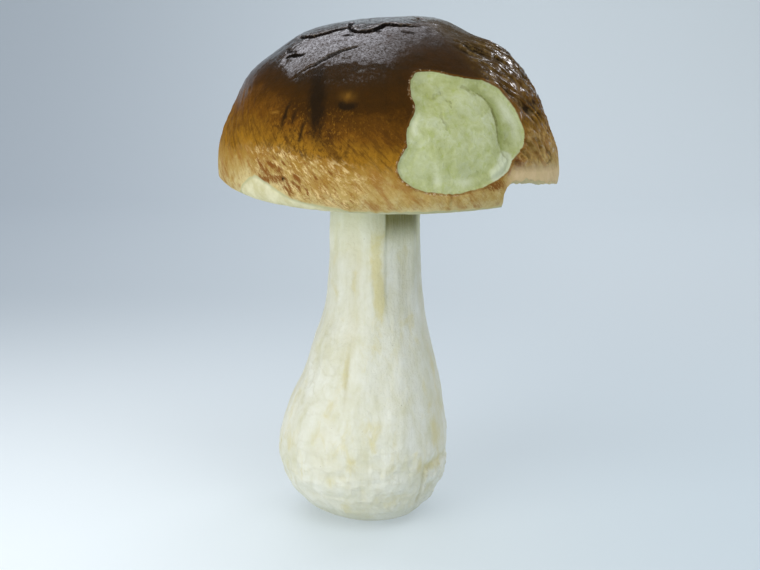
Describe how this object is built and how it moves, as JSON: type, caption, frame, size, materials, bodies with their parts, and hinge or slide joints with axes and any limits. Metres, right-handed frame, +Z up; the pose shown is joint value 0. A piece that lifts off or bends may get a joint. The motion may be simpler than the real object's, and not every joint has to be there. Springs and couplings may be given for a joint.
{
  "type": "porcini mushroom",
  "caption": "Whole porcini mushroom with a domed brown cap, a pore layer under it and a pale club-shaped stem that stands on its foot.",
  "frame": {"origin": "middle of the small flat at the foot of the stem, on the surface that the mushroom stands on", "axes": "+Z up the stem to the crown of the cap; -Y is the front, where the cap's skin is missing in a patch; +X is to the right seen from the front, on the side of the broken margin"},
  "size_m": [0.1218, 0.12, 0.1862],
  "materials": {
    "cap": "satin",
    "pore_layer": "matte",
    "stem": "matte"
  },
  "bodies": {
    "root": {"cap": "cap", "pore_layer": "pore_layer", "stem": "stem"}
  },
  "joints": []
}
